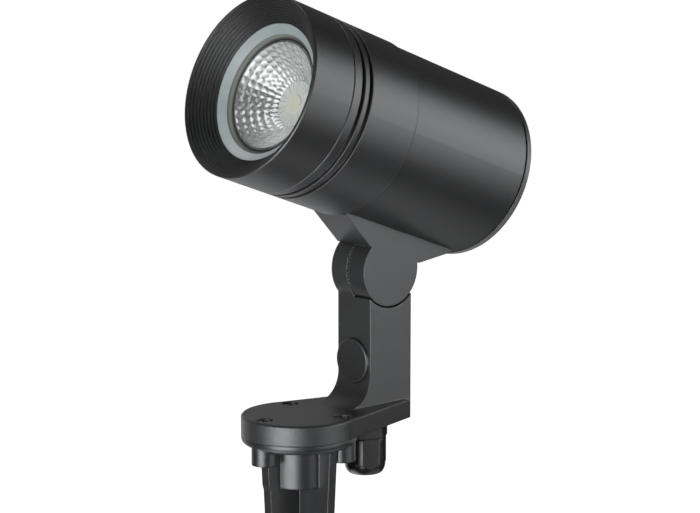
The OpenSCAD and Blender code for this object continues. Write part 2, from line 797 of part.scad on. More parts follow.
module rear_housing() {
    color(coat) difference() {
        union() {
            on_axis() rear_shell();
            on_axis() rear_bosses();
            in_head() across(-half_w, half_w) polygon([
                [arm_top, -arm_half_top], [arm_top, arm_half_top], [arm_high, arm_half_top],
                [arm_low, arm_half_low], [arm_low, -arm_half_low], [arm_high, -arm_half_top]
            ]);
            in_head() bar_x(knuckle_r, face, half_w);
        }
        in_head() {
            bar_x(cut_r, -half_w - cut, face);
            tooth_notches(face - cut);
            difference() {
                bar_x(chamber_r, -cut, face + chamber_d);
                bar_x(chamber_core, -2 * cut, half_w);
            }
            bar_x(insert_r + fit, -cut, insert_start + insert_len);
            translate([face + chamber_d / 2 + fit, chamber_core, 0]) rotate([-90, 0, 0])
                cylinder(r = passage_r, h = head_offset - rear_in - chamber_core + 2 * cut);
        }
        on_axis() {
            for (x = [-1, 1], u = board_posts)
                translate([x * board_post_x, 0, u]) rotate([90, 0, 0])
                    cylinder(r = small_screw_r + fit, h = board_drop + board_t + small_screw_len);
            around(cap_screws_n, cap_screw_ring) translate([0, 0, -rear_back])
                cylinder(r = small_screw_r + fit, h = cap_boss_len);
        }
    }
}

module end_cap() {
    seat_u = -rear_back - gasket_t;
    lip_u = cap_lip - rear_back;
    color(coat) on_axis() difference() {
        union() {
            turned([
                [0, u_cap], [rear_r - cap_bevel, u_cap], [rear_r, u_cap + cap_bevel], [rear_r, seat_u], [0, seat_u]
            ]);
            tube(rear_in - seat, rear_in - seat - cap_lip_wall, seat_u - cut, lip_u);
            around(cap_screws_n, cap_screw_ring) translate([0, 0, seat_u - cut])
                cylinder(r = cap_boss_r - post_wall, h = lip_u - seat_u + cut);
        }
        around(cap_screws_n, cap_screw_ring) translate([0, 0, u_cap]) {
            translate([0, 0, -cut]) cylinder(r = small_screw_r + screw_play, h = cap_t + cap_lip + 2 * cut);
            translate([0, 0, -cut]) cylinder(r = small_head_r + screw_play, h = small_head_h + loose + cut);
        }
    }
}

module end_cap_gasket()
    color(rubber) on_axis() tube(rear_r - gasket_inset, rear_in, -rear_back - gasket_t, -rear_back);

module end_cap_screws()
    color(steel) on_axis() around(cap_screws_n, cap_screw_ring)
        translate([0, 0, u_cap + small_head_h + loose]) rotate([180, 0, 0])
            cross_screw(small_screw_r, cap_t + cap_lip + small_screw_len, small_head_r, small_head_h);

module driver_board()
    color("#2f6b3f") on_axis() difference() {
        box([-board_w / 2, -board_drop - board_t, board_u], [board_w / 2, -board_drop, board_u + board_l]);
        for (x = [-1, 1], u = board_posts)
            translate([x * board_post_x, 0, u]) rotate([90, 0, 0])
                cylinder(r = small_screw_r + screw_play, h = rear_r);
    }

module driver_screws()
    color(steel) on_axis() for (x = [-1, 1], u = board_posts)
        translate([x * board_post_x, -board_drop, u]) rotate([-90, 0, 0])
            cross_screw(small_screw_r, small_screw_len, small_head_r, small_head_h);

module driver_transformer() {
    flange = 2;
    x = transformer_w / 2;
    u = transformer_l / 2;
    color("#d9b545") on_axis() translate([0, -board_drop, transformer_u]) {
        box([-x, 0, -u], [x, flange, u]);
        box([flange - x, 0, flange - u], [x - flange, transformer_h, u - flange]);
        box([-x, transformer_h - flange, -u], [x, transformer_h, u]);
    }
}

module driver_capacitors() {
    bevel = 0.6;
    color("#23314f") on_axis() for (x = [-1, 1])
        translate([x * capacitor_x, -board_drop, capacitor_u]) rotate([-90, 0, 0]) turned([
            [0, 0], [capacitor_r, 0], [capacitor_r, capacitor_h - bevel], [capacitor_r - bevel, capacitor_h],
            [0, capacitor_h]
        ]);
}

module driver_connector()
    color("#e3e1d8") on_axis() translate([0, -board_drop, connector_u]) difference() {
        box([-connector_w / 2, 0, 0], [connector_w / 2, connector_h, connector_l]);
        for (x = [-1, 1])
            translate([x * wire_gap / 2, board_drop - wire_drop, connector_l / 2])
                cylinder(r = wire_r + fit, h = connector_l);
    }

module led_wires() {
    bend_u = u_plate + wire_r + fit;
    start_u = connector_u + connector_l / 2;
    rise = wire_drop - sqrt(pow(holder_r, 2) - pow(wire_gap / 2 - wire_r, 2)) - fit;
    color("#a52a2a") on_axis() for (x = [-1, 1]) translate([x * wire_gap / 2, -wire_drop, 0]) {
        translate([0, 0, start_u]) cylinder(r = wire_r, h = bend_u - start_u);
        translate([0, 0, bend_u]) sphere(wire_r);
        translate([0, 0, bend_u]) rotate([-90, 0, 0]) cylinder(r = wire_r, h = rise);
    }
}

module front_housing() {
    groove1 = u_seam - groove_start;
    groove2 = groove1 - groove_w - groove_land;
    floor_r = head_r - groove_d;
    color(coat) on_axis() difference() {
        turned([
            [front_in, rear_front], [head_r - seam_bevel, rear_front], [head_r, rear_front + seam_bevel],
            [head_r, groove2 - groove_w], [floor_r, groove2 - groove_w], [floor_r, groove2], [head_r, groove2],
            [head_r, groove1 - groove_w], [floor_r, groove1 - groove_w], [floor_r, groove1], [head_r, groove1],
            [head_r, u_seam - seam_bevel], [head_r - seam_bevel, u_seam], [thread_r, u_seam], [thread_r, u_neck],
            [neck_in, u_neck], [neck_in, u_plate], [front_in, u_plate]
        ]);
        around(plate_screws_n, plate_screw_ring, 90) translate([0, 0, u_plate - cut])
            cylinder(r = small_screw_r + fit, h = small_screw_len + cut);
    }
}

module housing_oring()
    color(rubber) on_axis() rotate_extrude()
        translate([joint_r - oring_groove + oring_r, rear_front + oring_back + oring_r]) circle(oring_r - fit / 2);

module heat_plate()
    color("#c4c7cb") on_axis() difference() {
        translate([0, 0, u_plate - plate_t]) cylinder(r = front_in - seat, h = plate_t);
        around(plate_screws_n, plate_screw_ring, 90) translate([0, 0, u_plate - plate_t - cut])
            cylinder(r = small_screw_r + screw_play, h = plate_t + 2 * cut);
        translate([0, -wire_drop, u_plate - plate_t - cut]) cylinder(r = wire_hole_r, h = plate_t + 2 * cut);
        around(holder_screws_n, holder_screw_ring) translate([0, 0, u_plate - plate_t + cut])
            cylinder(r = tiny_screw_r + fit, h = plate_t);
    }

module heat_plate_screws()
    color(steel) on_axis() around(plate_screws_n, plate_screw_ring, 90) translate([0, 0, u_plate - plate_t])
        rotate([180, 0, 0]) cross_screw(small_screw_r, plate_t + small_screw_len - 1, small_head_r, small_head_h);

module led_board()
    color("#eceae2") on_axis() translate([0, 0, u_plate]) cylinder(r = led_board_r, h = led_board_t);

module led_phosphor() {
    bevel = phosphor_t / 2;
    color("#e8d254") on_axis() translate([0, 0, u_led])
        turned([[0, 0], [phosphor_r, 0], [phosphor_r - bevel, phosphor_t], [0, phosphor_t]]);
}

module led_holder()
    color(plastic) on_axis() difference() {
        tube(holder_r, led_board_r + fit, u_plate, u_plate + holder_h);
        around(holder_screws_n, holder_screw_ring) translate([0, 0, u_plate - cut])
            cylinder(r = tiny_screw_r + fit, h = holder_h + 2 * cut);
    }

module led_holder_screws()
    color(steel) on_axis() around(holder_screws_n, holder_screw_ring) translate([0, 0, u_plate + holder_h])
        cross_screw(tiny_screw_r, holder_h + plate_t - 2 * cut, tiny_head_r, tiny_head_h);

module reflector() {
    curve_steps = 14;
    bowl = [
        for (i = [0 : curve_steps])
            let (r = reflector_foot_r + (reflector_r - reflector_foot_r) * i / curve_steps)
                [r, reflector_u + reflector_rise * (pow(r, 2) - pow(reflector_foot_r, 2))]
    ];
    back = [for (i = [curve_steps : -1 : 0]) bowl[i] + [reflector_wall, 0]];
    color("#dfe2e5") on_axis() turned(concat(bowl, back));
}

module reflector_carrier() {
    face_u = u_reflector - carrier_face;
    hole_r = reflector_r + reflector_wall + seat;
    color(plastic) on_axis() turned([
        [carrier_r - carrier_wall, u_plate], [carrier_r, u_plate], [carrier_r, u_reflector],
        [hole_r, u_reflector], [hole_r, face_u], [carrier_r - carrier_wall, face_u]
    ]);
}

module lens_glass() {
    bevel = 0.3;
    color([0.85, 0.92, 0.95, 0.35]) on_axis() turned([
        [0, u_glass_back], [glass_r - bevel, u_glass_back], [glass_r, u_glass_back + bevel],
        [glass_r, u_glass - bevel], [glass_r - bevel, u_glass], [0, u_glass]
    ]);
}

module lens_seal() {
    back_u = u_neck + seat;
    front_u = u_lip - seat;
    color("#a9b6ba") on_axis() turned([
        [seal_r, back_u], [seal_r, front_u], [lip_r, front_u], [seal_in_r, front_u - seal_fall],
        [seal_in_r, u_glass], [glass_r + fit, u_glass], [glass_r + fit, u_glass_back], [neck_in, u_glass_back],
        [neck_in, back_u]
    ]);
}

module bezel() {
    rim_bevel = 0.5;
    back_u = u_seam + seat;
    step_r = (mouth_r - lip_r) / glare_steps;
    step_u = recess_depth / glare_steps;
    stairs = [
        for (i = [0 : glare_steps - 1], k = [0, 1]) [lip_r + step_r * (i + k), u_lip + step_u * (i + 0.5)]
    ];
    color(coat_dark) on_axis() turned(concat(
        [[pocket_r, u_lip], [lip_r, u_lip]], stairs,
        [
            [mouth_r, u_rim], [head_r - rim_bevel, u_rim], [head_r, u_rim - rim_bevel],
            [head_r, back_u + seam_bevel], [head_r - seam_bevel, back_u], [thread_r + run, back_u],
            [thread_r + run, u_neck + loose], [pocket_r, u_neck + loose]
        ]
    ));
}

spike();
base_screws();
base_bracket();
access_plug();
plug_oring();
terminal_block();
terminal_screws();
gland_body();
gland_oring();
gland_insert();
gland_nut();
knuckle_seal();
clamp_screw();
clamp_washer();
thread_insert();
rear_housing();
end_cap();
end_cap_gasket();
end_cap_screws();
driver_board();
driver_screws();
driver_transformer();
driver_capacitors();
driver_connector();
led_wires();
front_housing();
housing_oring();
heat_plate();
heat_plate_screws();
led_board();
led_phosphor();
led_holder();
led_holder_screws();
reflector();
reflector_carrier();
lens_glass();
lens_seal();
bezel();
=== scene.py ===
"""Garden spotlight on an earth spike: finishes, dimpled reflector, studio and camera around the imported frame."""
import json
import math

import bpy
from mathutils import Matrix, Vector


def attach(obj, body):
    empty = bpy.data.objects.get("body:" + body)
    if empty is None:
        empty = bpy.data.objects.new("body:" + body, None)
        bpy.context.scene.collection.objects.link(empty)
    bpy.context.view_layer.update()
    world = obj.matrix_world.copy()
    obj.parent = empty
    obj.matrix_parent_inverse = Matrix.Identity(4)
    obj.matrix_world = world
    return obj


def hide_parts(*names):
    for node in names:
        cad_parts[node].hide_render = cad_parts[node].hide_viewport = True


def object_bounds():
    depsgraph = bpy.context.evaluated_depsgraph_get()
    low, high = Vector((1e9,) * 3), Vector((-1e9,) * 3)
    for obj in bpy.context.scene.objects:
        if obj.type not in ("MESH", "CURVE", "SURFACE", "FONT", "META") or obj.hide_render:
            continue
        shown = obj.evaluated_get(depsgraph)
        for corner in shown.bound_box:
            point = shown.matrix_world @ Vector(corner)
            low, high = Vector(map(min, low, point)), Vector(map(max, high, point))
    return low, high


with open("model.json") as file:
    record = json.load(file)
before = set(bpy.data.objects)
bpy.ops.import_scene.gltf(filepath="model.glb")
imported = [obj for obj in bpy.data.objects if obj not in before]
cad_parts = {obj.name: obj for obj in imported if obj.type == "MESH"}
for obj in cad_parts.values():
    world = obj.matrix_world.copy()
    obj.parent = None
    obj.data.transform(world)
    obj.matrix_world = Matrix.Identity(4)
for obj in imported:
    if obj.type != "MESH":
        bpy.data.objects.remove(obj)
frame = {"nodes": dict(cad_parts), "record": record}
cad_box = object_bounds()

MM = 0.001
NODES = frame["nodes"]

# Lamp axis: its origin above the tilt axis, and its up and forward directions
TILT = math.radians(19.5)
TILT_AXIS = Vector((0, 49.1, 75.1)) * MM
LAMP_RISE = 61
UP = Vector((0, math.sin(TILT), math.cos(TILT)))
FORWARD = Vector((0, -math.cos(TILT), math.sin(TILT)))
LAMP = TILT_AXIS + UP * LAMP_RISE * MM

# The part of 0 to 1 that a noise mostly fills
NOISE_LOW = 0.3
NOISE_HIGH = 0.7


# ---------------------------------------------------------------- node helpers

def node(tree, kind, inputs=None, **props):
    """Adds a shader node; inputs maps a socket's name or number to a value or to another node's output."""
    n = tree.nodes.new(kind)
    for key, value in props.items():
        setattr(n, key, value)
    for key, value in (inputs or {}).items():
        wire(tree, n.inputs[key], value)
    return n


def wire(tree, socket, value):
    if isinstance(value, bpy.types.NodeSocket):
        tree.links.new(value, socket)
    else:
        socket.default_value = value


def grey(value):
    return (value, value, value, 1.0)


def noise(tree, where, scale, detail=3.0, roughness=0.55):
    return node(tree, "ShaderNodeTexNoise", {"Vector": where, "Scale": scale, "Detail": detail,
                                             "Roughness": roughness}).outputs["Fac"]


def tones(tree, factor, dark, light, low=NOISE_LOW, high=NOISE_HIGH):
    """Colour that goes from dark to light as the factor goes from low to high."""
    n = node(tree, "ShaderNodeValToRGB", {"Fac": factor})
    for element, place, colour in zip(n.color_ramp.elements, (low, high), (dark, light)):
        element.position = place
        element.color = (*colour, 1.0)
    return n.outputs["Color"]


def between(tree, value, low, high, to_low, to_high):
    return node(tree, "ShaderNodeMapRange", {"Value": value, "From Min": low, "From Max": high, "To Min": to_low,
                                             "To Max": to_high}).outputs["Result"]


def spread(tree, factor, to_low, to_high):
    """Number that goes from to_low to to_high over a noise."""
    return between(tree, factor, NOISE_LOW, NOISE_HIGH, to_low, to_high)


def math_node(tree, operation, a, b):
    return node(tree, "ShaderNodeMath", {0: a, 1: b}, operation=operation).outputs[0]


def dot(tree, a, b):
    return node(tree, "ShaderNodeVectorMath", {0: a, 1: b}, operation="DOT_PRODUCT").outputs["Value"]


def length(tree, vector):
    return node(tree, "ShaderNodeVectorMath", {0: vector}, operation="LENGTH").outputs["Value"]


def bump(tree, height, distance, strength, normal=None):
    """Normal from a height; distance in mm."""
    inputs = {"Height": height, "Distance": distance * MM, "Strength": strength}
    if normal is not None:
        inputs["Normal"] = normal
    return node(tree, "ShaderNodeBump", inputs).outputs["Normal"]


def rounded_edges(tree, radius, samples=6):
    """Normal that rounds the edges; radius in mm."""
    return node(tree, "ShaderNodeBevel", {"Radius": radius * MM}, samples=samples).outputs["Normal"]


def mix_colour(tree, factor, a, b):
    n = node(tree, "ShaderNodeMix", {0: factor}, data_type="RGBA")
    wire(tree, n.inputs[6], a)
    wire(tree, n.inputs[7], b)
    return n.outputs[2]


def mix_shaders(tree, factor, a, b):
    return node(tree, "ShaderNodeMixShader", {0: factor, 1: a.outputs[0], 2: b.outputs[0]}).outputs[0]


def light_path(tree, *kinds):
    """An output for each kind of ray, which is 1 for that kind and 0 for others."""
    path = node(tree, "ShaderNodeLightPath")
    return [path.outputs[f"Is {kind} Ray"] for kind in kinds]


def start(name):
    """A new material with its tree, its shader and the object's own coordinates."""
    mat = bpy.data.materials.new(name)
    mat.use_nodes = True
    tree = mat.node_tree
    shader = tree.nodes["Principled BSDF"]
    where = node(tree, "ShaderNodeTexCoord").outputs["Object"]
    return mat, tree, shader, where


def dress(tree, shader, colour, rough, normal):
    wire(tree, shader.inputs["Base Color"], colour)
    wire(tree, shader.inputs["Roughness"], rough)
    wire(tree, shader.inputs["Normal"], normal)


def show(tree, surface):
    tree.links.new(surface, tree.nodes["Material Output"].inputs["Surface"])


def pass_light(tree, shader, tint):
    """Shows the shader, and lets the lamps shine through to what it covers."""
    shadow, = light_path(tree, "Shadow")
    free = node(tree, "ShaderNodeBsdfTransparent", {"Color": tint})
    show(tree, mix_shaders(tree, shadow, shader, free))


def lamp_space(tree, where):
    """Object coordinates turned so that Z runs along the lamp's axis, from the lamp's origin."""
    turn = node(tree, "ShaderNodeMapping", {"Vector": where, "Location": -LAMP})
    spin = node(tree, "ShaderNodeMapping", {"Vector": turn.outputs[0], "Rotation": (TILT - math.pi / 2, 0, 0)})
    return spin.outputs[0]


def axis_reach(tree, place):
    """Distance from the lamp's axis of a place in lamp space."""
    split = node(tree, "ShaderNodeSeparateXYZ", {0: place})
    flat = node(tree, "ShaderNodeCombineXYZ", {0: split.outputs[0], 1: split.outputs[1]})
    return length(tree, flat.outputs[0])


# ---------------------------------------------------------------- finishes

def edge_mask(tree, rounded):
    """1 where the rounded normal leaves the true one, at edges."""
    true = node(tree, "ShaderNodeNewGeometry").outputs["Normal"]
    return between(tree, dot(tree, rounded, true), 1.0, 0.9, 0.0, 1.0)


def powder_coat(name, dark, light, rough, grain, edge_radius, edge_wear_and_highlight_tone):
    """Satin powder coat: fine grain, soft orange peel, and edges lightened towards a pale grey, partly real wear and
    partly a painted highlight.
    """
    mat, tree, shader, where = start(name)
    shader.inputs["IOR"].default_value = 1.6
    shader.inputs["Specular IOR Level"].default_value = 0.9
    rounded = rounded_edges(tree, edge_radius)
    patch = noise(tree, where, 60, 4)
    speck = noise(tree, where, 2600, 2, 0.7)
    peel = noise(tree, where, 750, 2)
    # Lighter edges: partly real wear, partly a painted highlight along edges that catch the light
    worn_and_highlit_edges = math_node(tree, "MULTIPLY", edge_mask(tree, rounded), between(tree, patch, 0.4, 0.6, 0.25, 0.6))
    colour = mix_colour(tree, worn_and_highlit_edges, tones(tree, patch, dark, light, 0.35, 0.65), grey(edge_wear_and_highlight_tone))
    fine = bump(tree, speck, grain, 0.6, rounded)
    dress(tree, shader, colour, spread(tree, speck, rough - 0.05, rough + 0.06), bump(tree, peel, 0.03, 0.4, fine))
    return mat


def moulded(name, dark, light, rough, edge_radius, waves):
    """Moulded plastic: soft flow marks, slightly uneven gloss and rounded edges."""
    mat, tree, shader, where = start(name)
    shader.inputs["IOR"].default_value = 1.55
    shader.inputs["Specular IOR Level"].default_value = 0.85
    flow = noise(tree, where, waves, 3)
    gloss = noise(tree, where, 190, 2)
    dress(tree, shader, tones(tree, flow, dark, light), spread(tree, gloss, rough - 0.02, rough + 0.04),
          bump(tree, flow, 0.12, 0.5, rounded_edges(tree, edge_radius)))
    return mat


def rubber(name, dark, light, rough):
    """Soft rubber with a faint bloom."""
    mat, tree, shader, where = start(name)
    bloom = noise(tree, where, 240, 4)
    pores = noise(tree, where, 3200, 2)
    dress(tree, shader, tones(tree, bloom, dark, light), spread(tree, bloom, rough - 0.08, rough + 0.08),
          bump(tree, pores, 0.02, 0.5))
    return mat


def metal(name, dark, light, rough, scale, stretch):
    """Bare metal with fine machining lines along one direction."""
    mat, tree, shader, where = start(name)
    shader.inputs["Metallic"].default_value = 1.0
    lines = node(tree, "ShaderNodeMapping", {"Vector": where, "Scale": stretch}).outputs[0]
    grain = noise(tree, lines, scale, 3)
    stain = noise(tree, where, 300, 3)
    dress(tree, shader, tones(tree, stain, dark, light, 0.35, 0.65), spread(tree, grain, rough - 0.06, rough + 0.1),
          bump(tree, grain, 0.015, 0.5, rounded_edges(tree, 0.2, samples=4)))
    return mat


def clear_glass(name):
    """Clear glass with faint dust."""
    mat, tree, shader, where = start(name)
    shader.inputs["Base Color"].default_value = (0.97, 0.985, 0.98, 1.0)
    shader.inputs["Transmission Weight"].default_value = 1.0
    shader.inputs["IOR"].default_value = 1.48
    dust = noise(tree, where, 500, 4, 0.7)
    wire(tree, shader.inputs["Roughness"], between(tree, dust, 0.5, 0.9, 0.0, 0.06))
    pass_light(tree, shader, (0.93, 0.95, 0.94, 1.0))
    return mat


def mirror_bowl(name):
    """Vacuum-metallised plastic: bright, with a slight haze."""
    mat, tree, shader, where = start(name)
    shader.inputs["Metallic"].default_value = 0.86
    haze = noise(tree, where, 420, 3)
    fine = noise(tree, where, 1900, 2)
    dress(tree, shader, tones(tree, haze, (0.74, 0.74, 0.735), (0.84, 0.84, 0.835)), spread(tree, haze, 0.19, 0.27),
          bump(tree, fine, 0.012, 0.5))
    return mat


def light_board(name):
    """Pale board of the light source: fine radial streaks that lead to a faint yellow middle."""
    mat, tree, shader, where = start(name)
    place = lamp_space(tree, where)
    turn = node(tree, "ShaderNodeTexGradient", {"Vector": place}, gradient_type="RADIAL").outputs["Fac"]
    streaks = node(tree, "ShaderNodeTexNoise", {"W": math_node(tree, "MULTIPLY", turn, 64.0), "Scale": 1.0,
                                                "Detail": 2.0}, noise_dimensions="1D").outputs["Fac"]
    pale = tones(tree, streaks, (0.42, 0.42, 0.4), (0.7, 0.7, 0.675), 0.35, 0.65)
    glow = between(tree, axis_reach(tree, place), 3.0 * MM, 9.0 * MM, 0.6, 0.0)
    dress(tree, shader, mix_colour(tree, glow, pale, (0.66, 0.65, 0.58, 1.0)), spread(tree, streaks, 0.3, 0.5),
          bump(tree, streaks, 0.05, 0.5))
    return mat


def gel(name):
    """Soft yellow gel over the emitting spot, paler towards its edge."""
    mat, tree, shader, where = start(name)
    grain = noise(tree, where, 2400, 3)
    fade = between(tree, axis_reach(tree, lamp_space(tree, where)), 1.5 * MM, 4.6 * MM, 0.0, 1.0)
    yellow = tones(tree, grain, (0.6, 0.57, 0.44), (0.66, 0.63, 0.5))
    dress(tree, shader, mix_colour(tree, fade, yellow, (0.6, 0.595, 0.54, 1.0)), spread(tree, grain, 0.25, 0.4),
          bump(tree, grain, 0.02, 0.5))
    return mat


def silicone(name):
    """Pale translucent silicone of the lens seal."""
    mat, tree, shader, where = start(name)
    cloud = noise(tree, where, 130, 3)
    pores = noise(tree, where, 2600, 2)
    shader.inputs["Subsurface Weight"].default_value = 0.15
    shader.inputs["Subsurface Radius"].default_value = (0.8 * MM, 1.0 * MM, 1.0 * MM)
    dress(tree, shader, tones(tree, cloud, (0.28, 0.322, 0.32), (0.32, 0.362, 0.36)), spread(tree, pores, 0.38, 0.5),
          bump(tree, pores, 0.02, 0.4))
    pass_light(tree, shader, (0.8, 0.8, 0.75, 1.0))
    return mat


def carrier(name):
    """Black plastic; its rim under the lens seal is painted pale in two tones, a painted stand-in for the lit seal
    foot seen through the glass, with painted shade towards the inside.
    """
    mat, tree, shader, where = start(name)
    reach = axis_reach(tree, lamp_space(tree, where))
    grain = noise(tree, where, 900, 3)
    black = tones(tree, grain, (0.012, 0.012, 0.0122), (0.017, 0.017, 0.0172))
    # Painted light: a pale rim, lighter outward, stands in for the lit seal foot seen through the glass
    light_fade = between(tree, reach, 28.1 * MM, 28.7 * MM, 0.0, 1.0)
    painted_seal_light = tones(tree, light_fade, (0.135, 0.134, 0.122), (0.25, 0.25, 0.225), 0.0, 1.0)
    painted_rim_mask = between(tree, reach, 27.0 * MM, 27.8 * MM, 0.0, 1.0)
    dress(tree, shader, mix_colour(tree, painted_rim_mask, black, painted_seal_light), spread(tree, grain, 0.4, 0.5),
          bump(tree, grain, 0.02, 0.4))
    return mat


def circuit(name):
    """Green solder mask with paler tracks under it."""
    mat, tree, shader, where = start(name)
    cells = node(tree, "ShaderNodeTexBrick", {"Vector": lamp_space(tree, where), "Scale": 120.0,
                                              "Mortar Size": 0.03, "Color1": (0.02, 0.13, 0.05, 1.0),
                                              "Color2": (0.025, 0.16, 0.06, 1.0), "Mortar": (0.05, 0.26, 0.11, 1.0)})
    weave = noise(tree, where, 1400, 2)
    dress(tree, shader, cells.outputs["Color"], spread(tree, weave, 0.3, 0.45),
          bump(tree, cells.outputs["Fac"], 0.03, 0.5))
    return mat


def wrapped(name, dark, light, rough, scale):
    """Tape or sleeve with fine bands."""
    mat, tree, shader, where = start(name)
    bands = node(tree, "ShaderNodeTexWave", {"Vector": lamp_space(tree, where), "Scale": scale, "Distortion": 1.5,
                                             "Detail": 2.0}, bands_direction="Y").outputs["Fac"]
    dress(tree, shader, tones(tree, bands, dark, light, 0.2, 0.8),
          between(tree, bands, 0.0, 1.0, rough - 0.05, rough + 0.08), bump(tree, bands, 0.03, 0.4))
    return mat


# Lengths in the arguments are in mm
# The powder coats' last tone lightens their edges: partly real wear, partly a painted highlight
FINISH = {
    "coat": powder_coat("powder_coat", (0.0135, 0.0139, 0.0145), (0.0165, 0.017, 0.0178), rough=0.4, grain=0.045,
                        edge_radius=0.7, edge_wear_and_highlight_tone=0.16),
    "cast_coat": powder_coat("cast_powder_coat", (0.0135, 0.014, 0.0142), (0.0175, 0.0182, 0.0185), rough=0.41,
                             grain=0.16, edge_radius=1.1, edge_wear_and_highlight_tone=0.05),
    "bezel_coat": powder_coat("bezel_coat", (0.0095, 0.0097, 0.0102), (0.0125, 0.0128, 0.0135), rough=0.41,
                              grain=0.045, edge_radius=0.5, edge_wear_and_highlight_tone=0.05),
    "spike_plastic": moulded("spike_plastic", (0.012, 0.0124, 0.013), (0.018, 0.0186, 0.0195), rough=0.36,
                             edge_radius=0.9, waves=60),
    "gland_plastic": moulded("gland_plastic", (0.008, 0.0081, 0.0086), (0.011, 0.0112, 0.012), rough=0.3,
                             edge_radius=0.6, waves=90),
    "black_plastic": moulded("black_plastic", (0.012, 0.012, 0.0122), (0.017, 0.017, 0.0172), rough=0.45,
                             edge_radius=0.2, waves=120),
    "rubber": rubber("rubber", (0.006, 0.006, 0.006), (0.011, 0.011, 0.011), rough=0.6),
    "carrier_with_painted_rim": carrier("carrier_with_painted_rim"),
    "silicone": silicone("silicone"),
    "glass": clear_glass("clear_glass"),
    "reflector": mirror_bowl("mirror_bowl"),
    "led_board": light_board("light_board"),
    "phosphor": gel("phosphor_gel"),
    "steel": metal("steel", (0.2, 0.2, 0.205), (0.32, 0.32, 0.325), rough=0.3, scale=900, stretch=(1, 1, 0.2)),
    "brass": metal("brass", (0.55, 0.38, 0.13), (0.68, 0.5, 0.19), rough=0.28, scale=900, stretch=(1, 1, 0.2)),
    "plate": metal("milled_plate", (0.62, 0.63, 0.65), (0.74, 0.75, 0.77), rough=0.32, scale=500,
                   stretch=(0.2, 1, 1)),
    "circuit_board": circuit("circuit_board"),
    "transformer": wrapped("transformer_tape", (0.55, 0.4, 0.06), (0.68, 0.52, 0.1), rough=0.4, scale=160.0),
    "capacitor": wrapped("capacitor_sleeve", (0.02, 0.035, 0.1), (0.03, 0.05, 0.14), rough=0.28, scale=60.0),
    "connector": moulded("connector_nylon", (0.62, 0.61, 0.55), (0.72, 0.71, 0.65), rough=0.42, edge_radius=0.2,
                         waves=160),
    "wire": wrapped("wire_sleeve", (0.26, 0.025, 0.02), (0.36, 0.04, 0.03), rough=0.4, scale=90.0),
}
OWN_FINISH = {"base_bracket": "cast_coat", "reflector_carrier": "carrier_with_painted_rim"}

for row in frame["record"]["subparts"]:
    slots = NODES[row["node"]].data.materials
    slots.clear()
    slots.append(FINISH[OWN_FINISH.get(row["node"], row["material_slot"])])


# ---------------------------------------------------------------- dimpled reflector

# The bowl's curve in mm: radius and place along the lamp's axis, at its foot and at its rim
FOOT_R = 10.9
RIM_R = 25.4
FOOT_U = 74.5
RIM_U = 88.6
WALL = 1.0
RISE = (RIM_U - FOOT_U) / (RIM_R ** 2 - FOOT_R ** 2)
# Facets: how many around and along, mesh steps across each, and how far its middle stands out, in mm
COLUMNS = 38
ROWS = 6
FINE = 6
PILLOW = 0.29
FACET_ANGLE = math.radians(16)


def on_lamp(r, angle, u):
    return LAMP + (Vector((math.cos(angle), 0, 0)) + UP * math.sin(angle)) * r * MM + FORWARD * u * MM


def bowl_height(r):
    return FOOT_U + RISE * (r * r - FOOT_R ** 2)


def bowl_radii(count):
    """Radii that split the bowl's curve into equal lengths."""
    steps = 2000
    lengths = [0.0]
    for i in range(steps):
        r = FOOT_R + (RIM_R - FOOT_R) * (i + 0.5) / steps
        lengths.append(lengths[-1] + math.hypot(1, 2 * RISE * r))
    radii = []
    i = 0
    for k in range(count + 1):
        while i < steps and lengths[i] < lengths[-1] * k / count:
            i += 1
        radii.append(FOOT_R + (RIM_R - FOOT_R) * i / steps)
    return radii


def add_object(name, data):
    obj = bpy.data.objects.new(name, data)
    bpy.context.scene.collection.objects.link(obj)
    return obj


def make_reflector():
    """Closed bowl with rows of pillow facets inside and a plain wall outside."""
    radii = bowl_radii(ROWS * FINE)
    around = COLUMNS * FINE
    points = []
    for i, r in enumerate(radii):
        slope = 2 * RISE * r
        run = math.hypot(1, slope)
        b = 2 * (i % FINE) / FINE - 1
        for j in range(around):
            a = 2 * (j % FINE) / FINE - 1
            rise = PILLOW * (1 - a * a) * (1 - b * b)
            points.append(on_lamp(r - rise * slope / run, 2 * math.pi * j / around, bowl_height(r) + rise / run))
    for r in reversed(radii):
        for j in range(around):
            points.append(on_lamp(r + WALL, 2 * math.pi * j / around, bowl_height(r)))
    rings = 2 * len(radii)
    faces = []
    for i in range(rings):
        k = (i + 1) % rings
        for j in range(around):
            m = (j + 1) % around
            faces.append((i * around + j, i * around + m, k * around + m, k * around + j))
    mesh = bpy.data.meshes.new("dimpled_reflector")
    mesh.from_pydata(points, [], faces)
    mesh.validate()
    mesh.polygons.foreach_set("use_smooth", [True] * len(mesh.polygons))
    mesh.set_sharp_from_angle(angle=FACET_ANGLE)
    mesh.update()
    obj = add_object("dimpled_reflector", mesh)
    mesh.materials.append(FINISH["reflector"])
    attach(obj, "head")
    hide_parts("reflector")
    return obj


bowl = make_reflector()


# ---------------------------------------------------------------- studio

